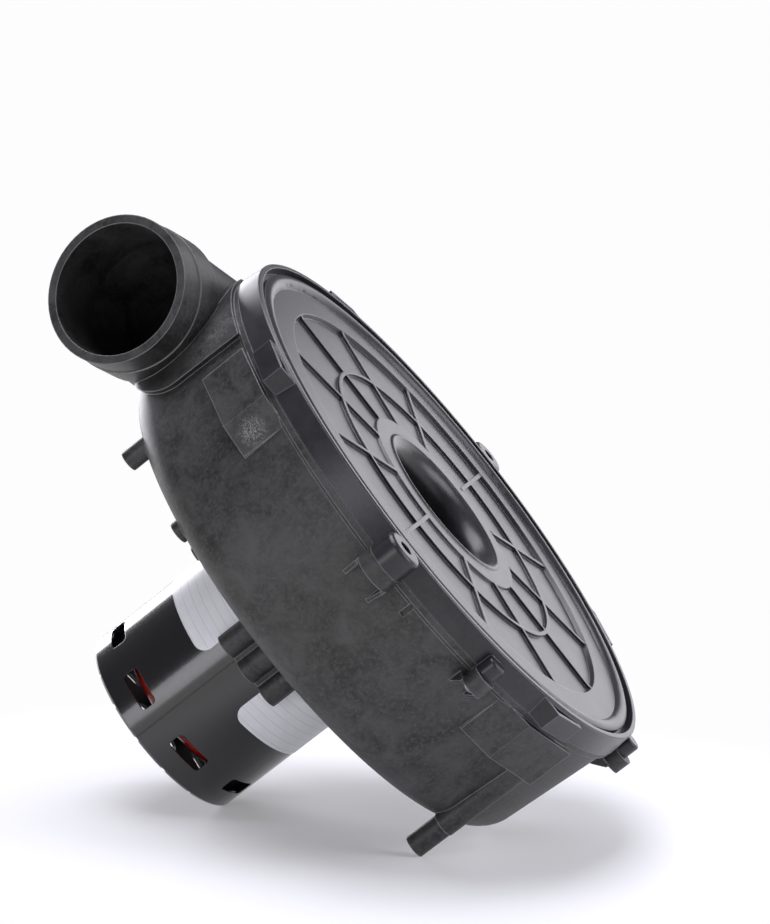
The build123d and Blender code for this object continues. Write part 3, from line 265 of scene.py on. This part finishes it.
# the ring behind the housing is pressed fibre, with strands about 3 mm long in it
fibre, tree, place = start_material("ceramic fibre board, pressed")
drawn = node(tree, "ShaderNodeMapping", None, {"Scale": (1.0, 0.18, 1.0)}, {"Vector": place})
strand = node(tree, "ShaderNodeTexNoise", None, {"Scale": 1700.0, "Detail": 4.0, "Distortion": 1.2},
              {"Vector": drawn.outputs["Vector"]})
tan = node(tree, "ShaderNodeMix", {"data_type": "RGBA"}, {6: linear("8F8672"), 7: linear("B9B09A")},
           {0: strand.outputs["Fac"]})
felt = node(tree, "ShaderNodeBump", None, {"Strength": 0.5, "Distance": 0.0002},
            {"Height": strand.outputs["Fac"]})
shade = node(tree, "ShaderNodeBsdfPrincipled", None, {"Roughness": 0.92},
             {"Base Color": tan.outputs[2], "Normal": felt.outputs["Normal"]})
end_tree(tree, shade)
dress("motor_gasket", fibre)

# ---- Screws, long bolts and end plates ------------------------------------------------------
# Steel: the cover's and the motor's screws and the front plate are zinc-plated, grey-blue with
# a fine crystal pattern and darker smears. The long bolts and the rear plate are blackened.
zinc, tree, place = start_material("zinc-plated steel, cold-headed")
crystal = node(tree, "ShaderNodeTexVoronoi", None, {"Scale": 1800.0}, {"Vector": place})
smear = node(tree, "ShaderNodeTexNoise", None, {"Scale": 300.0, "Detail": 5.0}, {"Vector": place})
plate = node(tree, "ShaderNodeMix", {"data_type": "RGBA"}, {6: linear("8E9197"), 7: linear("B9BCC1")},
             {0: smear.outputs["Fac"]})
matt = node(tree, "ShaderNodeMapRange", None, {"To Min": 0.2, "To Max": 0.42},
            {"Value": crystal.outputs["Distance"]})
shade = node(tree, "ShaderNodeBsdfPrincipled", None, {"Metallic": 1.0},
             {"Base Color": plate.outputs[2], "Roughness": matt.outputs["Result"]})
end_tree(tree, shade)
for name in ("cover_screws", "motor_mount_screws", "motor_front_end"):
    dress(name, zinc)

# the dark coating is left from a hot oxide bath, a little blotchy where it drained
oxide, tree, place = start_material("carbon steel, black oxide")
blot = node(tree, "ShaderNodeTexNoise", None, {"Scale": 500.0, "Detail": 5.0}, {"Vector": place})
dark = node(tree, "ShaderNodeMix", {"data_type": "RGBA"}, {6: linear("1A1A1B"), 7: linear("333336")},
            {0: blot.outputs["Fac"]})
shade = node(tree, "ShaderNodeBsdfPrincipled", None, {"Roughness": 0.62},
             {"Base Color": dark.outputs[2]})
end_tree(tree, shade)
for name in ("motor_through_bolts", "motor_rear_end"):
    dress(name, oxide)

# ---- Motor shell ----------------------------------------------------------------------------
# Sheet steel, rolled and crimped, then sprayed gloss black. The paint has a fine orange peel
# about 1.5 mm across and thins a little over the edges of the vents.
enamel, tree, place = start_material("gloss enamel on rolled steel")
peel = node(tree, "ShaderNodeTexNoise", None, {"Scale": 620.0, "Detail": 2.0}, {"Vector": place})
dust = node(tree, "ShaderNodeTexNoise", None, {"Scale": 2400.0, "Detail": 3.0}, {"Vector": place})
speck = node(tree, "ShaderNodeMapRange", None, {"From Min": 0.62, "From Max": 0.8, "To Max": 0.4},
             {"Value": dust.outputs["Fac"]})
coat = node(tree, "ShaderNodeMix", {"data_type": "RGBA"}, {6: linear("111113"), 7: linear("3E3E44")},
            {0: speck.outputs["Result"]})
thin = node(tree, "ShaderNodeBevel", {"samples": 4}, {"Radius": 0.0005})
wet = node(tree, "ShaderNodeMapRange", None, {"To Min": 0.13, "To Max": 0.24},
           {"Value": peel.outputs["Fac"]})
wavy = node(tree, "ShaderNodeBump", None, {"Strength": 0.12, "Distance": 0.0001},
            {"Height": peel.outputs["Fac"], "Normal": thin.outputs["Normal"]})
shade = node(tree, "ShaderNodeBsdfPrincipled", None,
             {"IOR": 1.55, "Coat Weight": 0.5, "Coat Roughness": 0.08},
             {"Base Color": coat.outputs[2], "Roughness": wet.outputs["Result"],
              "Normal": wavy.outputs["Normal"]})
end_tree(tree, shade)
dress("motor_shell", enamel)

# ---- Motor labels ---------------------------------------------------------------------------
# Two bare white film labels wrapped on the shell, cut with round corners. Each is ruled in
# pale grey like a blank form, and its film is slightly glossy.
film, tree, place = start_material("vinyl film, white, ruled")
apart = node(tree, "ShaderNodeSeparateXYZ", None, None, {"Vector": place})
row = node(tree, "ShaderNodeMath", {"operation": "PINGPONG"}, {1: 0.0019}, {0: apart.outputs["Z"]})
ruled = node(tree, "ShaderNodeMath", {"operation": "LESS_THAN"}, {1: 0.00013}, {0: row.outputs[0]})
pale_marks_and_painted_edge_highlight = node(tree, "ShaderNodeTexNoise", None, {"Scale": 240.0, "Detail": 4.0}, {"Vector": place})
faint = node(tree, "ShaderNodeMapRange", None,
             {"From Min": 0.3, "From Max": 0.7, "To Min": 0.25, "To Max": 0.6},
             {"Value": pale_marks_and_painted_edge_highlight.outputs["Fac"]})
ink = node(tree, "ShaderNodeMath", {"operation": "MULTIPLY"}, None,
           {0: ruled.outputs[0], 1: faint.outputs["Result"]})
sheet = node(tree, "ShaderNodeMix", {"data_type": "RGBA"}, {6: linear("E4E4EA"), 7: linear("F1F1F5")},
             {0: pale_marks_and_painted_edge_highlight.outputs["Fac"]})
form = node(tree, "ShaderNodeMix", {"data_type": "RGBA"}, {7: linear("A9A9B2")},
            {0: ink.outputs[0], 6: sheet.outputs[2]})
shade = node(tree, "ShaderNodeBsdfPrincipled", None, {"Roughness": 0.32, "IOR": 1.48},
             {"Base Color": form.outputs[2]})
end_tree(tree, shade)
motor_radius = 0.0427
label_thickness = 0.00012
label_clearance = 0.00002
label_corner = 0.0055
label_strips = 64


def wrapped_label(name, first_degrees, last_degrees):
    """A round-cornered sheet cut flat, scored into strips and rolled on to the shell."""
    low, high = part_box(name)
    length = motor_radius * math.radians(last_degrees - first_degrees)
    bpy.ops.object.select_all(action="DESELECT")
    bpy.ops.mesh.primitive_plane_add(size=1.0, rotation=(math.pi / 2, 0.0, 0.0))
    label = bpy.context.object
    label.name = name + "_film"
    label.scale = (length, high[2] - low[2], 1.0)
    bpy.ops.object.transform_apply(location=True, rotation=True, scale=True)
    bpy.ops.object.mode_set(mode="EDIT")
    bpy.ops.mesh.select_all(action="SELECT")
    bpy.ops.mesh.bevel(offset=label_corner, segments=7, affect="VERTICES")
    for cut in range(1, label_strips):
        along = length * (cut / label_strips - 0.5)
        bpy.ops.mesh.select_all(action="SELECT")
        bpy.ops.mesh.bisect(plane_co=(along, 0.0, 0.0), plane_no=(1.0, 0.0, 0.0))
    bpy.ops.object.mode_set(mode="OBJECT")
    roll = label.modifiers.new("roll", "SIMPLE_DEFORM")
    roll.deform_method = "BEND"
    roll.deform_axis = "Z"
    roll.angle = length / motor_radius
    bpy.ops.object.modifier_apply(modifier="roll")
    label.location = (0.0, -motor_radius - label_clearance, 0.0)
    bpy.ops.object.transform_apply(location=True, rotation=False, scale=False)
    middle_degrees = (first_degrees + last_degrees) / 2
    label.rotation_euler = (0.0, 0.0, math.radians(middle_degrees + 90.0))
    label.location = (0.0, 0.0, (low[2] + high[2]) / 2)
    bpy.ops.object.transform_apply(location=True, rotation=True, scale=False)
    skin = label.modifiers.new("skin", "SOLIDIFY")
    skin.thickness = label_thickness
    skin.offset = 1.0
    bpy.ops.object.modifier_apply(modifier="skin")
    bpy.ops.object.shade_smooth_by_angle(angle=math.radians(30))
    label.data.materials.append(film)
    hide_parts(name)
    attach(label, "housing")


wrapped_label("motor_label_rating", -46.5, 49.5)
wrapped_label("motor_label_wiring", -176.0, -81.3)

# ---- Stator ---------------------------------------------------------------------------------
# Stamped steel sheets half a millimetre thick, stacked and pressed into the shell, wound with
# enamelled copper wire that is dipped in red varnish.
sheets, tree, place = start_material("electrical steel, stacked sheets")
layer = node(tree, "ShaderNodeTexWave", {"bands_direction": "Z"}, {"Scale": 628.0}, {"Vector": place})
rust = node(tree, "ShaderNodeTexNoise", None, {"Scale": 180.0, "Detail": 6.0}, {"Vector": place})
grey = node(tree, "ShaderNodeMix", {"data_type": "RGBA"}, {6: linear("55575B"), 7: linear("7C7A76")},
            {0: rust.outputs["Fac"]})
steps = node(tree, "ShaderNodeBump", None, {"Strength": 0.5, "Distance": 0.0001},
             {"Height": layer.outputs["Fac"]})
shade = node(tree, "ShaderNodeBsdfPrincipled", None, {"Metallic": 1.0, "Roughness": 0.42},
             {"Base Color": grey.outputs[2], "Normal": steps.outputs["Normal"]})
end_tree(tree, shade)
for name in ("stator_core", "rotor_core"):
    dress(name, sheets)

varnish, tree, place = start_material("enamelled copper wire, red varnish")
lay = node(tree, "ShaderNodeTexWave", {"bands_direction": "Z"}, {"Scale": 350.0, "Distortion": 1.5},
           {"Vector": place})
dip = node(tree, "ShaderNodeTexNoise", None, {"Scale": 300.0, "Detail": 4.0}, {"Vector": place})
red = node(tree, "ShaderNodeMix", {"data_type": "RGBA"}, {6: linear("7A120C"), 7: linear("C2261A")},
           {0: dip.outputs["Fac"]})
turns = node(tree, "ShaderNodeBump", None, {"Strength": 0.7, "Distance": 0.0003},
             {"Height": lay.outputs["Fac"]})
shade = node(tree, "ShaderNodeBsdfPrincipled", None,
             {"Roughness": 0.24, "IOR": 1.55, "Coat Weight": 0.6},
             {"Base Color": red.outputs[2], "Normal": turns.outputs["Normal"]})
end_tree(tree, shade)
dress("stator_winding", varnish)

# Turns of wire laid round the outside of the rear coil end. Each leans by its own few degrees
# to its own side, bulges by its own share of the wire's thickness, and is slightly crooked.
wire_radius = 0.00042
wire_pitch = 0.00078
wire_crook = 0.00008
coil_ring = 0.0350
coil_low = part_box("stator_winding")[0]
first_level = coil_low[2] + 0.0046
lean_turn = 2.4
bulge_turn = 1.7
lean = (0.9, -0.6, 1.4, -1.1, 0.3, -1.5, 0.7, 1.2, -0.4, -0.9, 1.6, -0.2, 0.5, -1.3, 1.0)
bpy.ops.object.select_all(action="DESELECT")
for turn_number, tilt in enumerate(lean):
    way = turn_number * lean_turn
    bulge = 0.2 + 0.15 * math.sin(turn_number * bulge_turn)
    bpy.ops.mesh.primitive_torus_add(
        major_radius=coil_ring + wire_radius * bulge, minor_radius=wire_radius,
        major_segments=120, minor_segments=6,
        location=(0.0, 0.0, first_level + turn_number * wire_pitch),
        rotation=(math.radians(tilt) * math.cos(way), math.radians(tilt) * math.sin(way), 0.0))
    bpy.ops.object.transform_apply(location=True, rotation=True, scale=True)
    wire = bpy.context.object
    wire.name = f"coil_wire_{turn_number + 1}"
    bpy.ops.object.mode_set(mode="EDIT")
    bpy.ops.mesh.select_all(action="SELECT")
    bpy.ops.transform.vertex_random(offset=wire_crook, seed=turn_number)
    bpy.ops.object.mode_set(mode="OBJECT")
    bpy.ops.object.shade_smooth()
    wire.data.materials.append(varnish)
    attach(wire, "housing")

# ---- Bearings -------------------------------------------------------------------------------
# Two deep-groove ball bearings: rings and balls of hardened steel, ground and lapped, and a
# moulded nylon cage between them.
lapped, tree, place = start_material("bearing steel, ground and lapped")
lines = node(tree, "ShaderNodeTexWave", {"bands_direction": "Z"}, {"Scale": 1500.0}, {"Vector": place})
film_oil = node(tree, "ShaderNodeTexNoise", None, {"Scale": 400.0, "Detail": 3.0}, {"Vector": place})
bright = node(tree, "ShaderNodeMix", {"data_type": "RGBA"}, {6: linear("A9ABB0"), 7: linear("C9CBCE")},
              {0: film_oil.outputs["Fac"]})
polish = node(tree, "ShaderNodeMapRange", None, {"To Min": 0.1, "To Max": 0.2},
              {"Value": lines.outputs["Fac"]})
shade = node(tree, "ShaderNodeBsdfPrincipled", None, {"Metallic": 1.0},
             {"Base Color": bright.outputs[2], "Roughness": polish.outputs["Result"]})
end_tree(tree, shade)
nylon, tree, place = start_material("nylon, moulded")
haze = node(tree, "ShaderNodeTexNoise", None, {"Scale": 500.0, "Detail": 4.0}, {"Vector": place})
cream = node(tree, "ShaderNodeMix", {"data_type": "RGBA"}, {6: linear("8C8468"), 7: linear("AFA88C")},
             {0: haze.outputs["Fac"]})
shade = node(tree, "ShaderNodeBsdfPrincipled", None, {"Roughness": 0.45, "IOR": 1.53},
             {"Base Color": cream.outputs[2]})
end_tree(tree, shade)
for end in ("front", "rear"):
    for piece in ("outer_ring", "inner_ring", "balls"):
        dress(f"{end}_bearing_{piece}", lapped)
    dress(f"{end}_bearing_cage", nylon)

# ---- Shaft and rotor ------------------------------------------------------------------------
# A ground steel shaft that carries the rotor's stacked sheets, with bars, end rings and
# stirring paddles of aluminium cast through them.
ground, tree, place = start_material("carbon steel, ground")
marks = node(tree, "ShaderNodeTexWave", {"bands_direction": "Z"}, {"Scale": 900.0, "Distortion": 2.0},
             {"Vector": place})
tone = node(tree, "ShaderNodeMix", {"data_type": "RGBA"}, {6: linear("9C9EA2"), 7: linear("BFC0C3")},
            {0: marks.outputs["Fac"]})
fine = node(tree, "ShaderNodeMapRange", None, {"To Min": 0.18, "To Max": 0.32},
            {"Value": marks.outputs["Fac"]})
shade = node(tree, "ShaderNodeBsdfPrincipled", None, {"Metallic": 1.0},
             {"Base Color": tone.outputs[2], "Roughness": fine.outputs["Result"]})
end_tree(tree, shade)
dress("shaft", ground)

cast, tree, place = start_material("aluminium, die-cast")
flow = node(tree, "ShaderNodeTexNoise", None, {"Scale": 420.0, "Detail": 6.0, "Distortion": 0.5},
            {"Vector": place})
silver = node(tree, "ShaderNodeMix", {"data_type": "RGBA"}, {6: linear("8B8D90"), 7: linear("B6B8BA")},
              {0: flow.outputs["Fac"]})
sand = node(tree, "ShaderNodeBump", None, {"Strength": 0.3, "Distance": 0.0001},
            {"Height": flow.outputs["Fac"]})
shade = node(tree, "ShaderNodeBsdfPrincipled", None, {"Metallic": 1.0, "Roughness": 0.48},
             {"Base Color": silver.outputs[2], "Normal": sand.outputs["Normal"]})
end_tree(tree, shade)
for name in ("rotor_cage", "heat_slinger", "impeller_hub"):
    dress(name, cast)

# ---- Impeller -------------------------------------------------------------------------------
# A black wheel of glass-filled resin with swept blades between a back plate and a shroud. A
# blackened spring clip holds it on the shaft's flat.
# its edges are painted a lighter grey, a painted highlight
wheel_resin = glass_filled_resin("glass-filled nylon, moulded", "0C0C0D", "1B1B1D", "333336",
                                 0.38, 0.52, 0.4)
dress("impeller", wheel_resin)
spring, tree, place = start_material("spring steel, blackened")
scale = node(tree, "ShaderNodeTexNoise", None, {"Scale": 700.0, "Detail": 4.0}, {"Vector": place})
blue = node(tree, "ShaderNodeMix", {"data_type": "RGBA"}, {6: linear("2A2B30"), 7: linear("4A4B50")},
            {0: scale.outputs["Fac"]})
shade = node(tree, "ShaderNodeBsdfPrincipled", None, {"Metallic": 1.0, "Roughness": 0.35},
             {"Base Color": blue.outputs[2]})
end_tree(tree, shade)
dress("impeller_clip", spring)
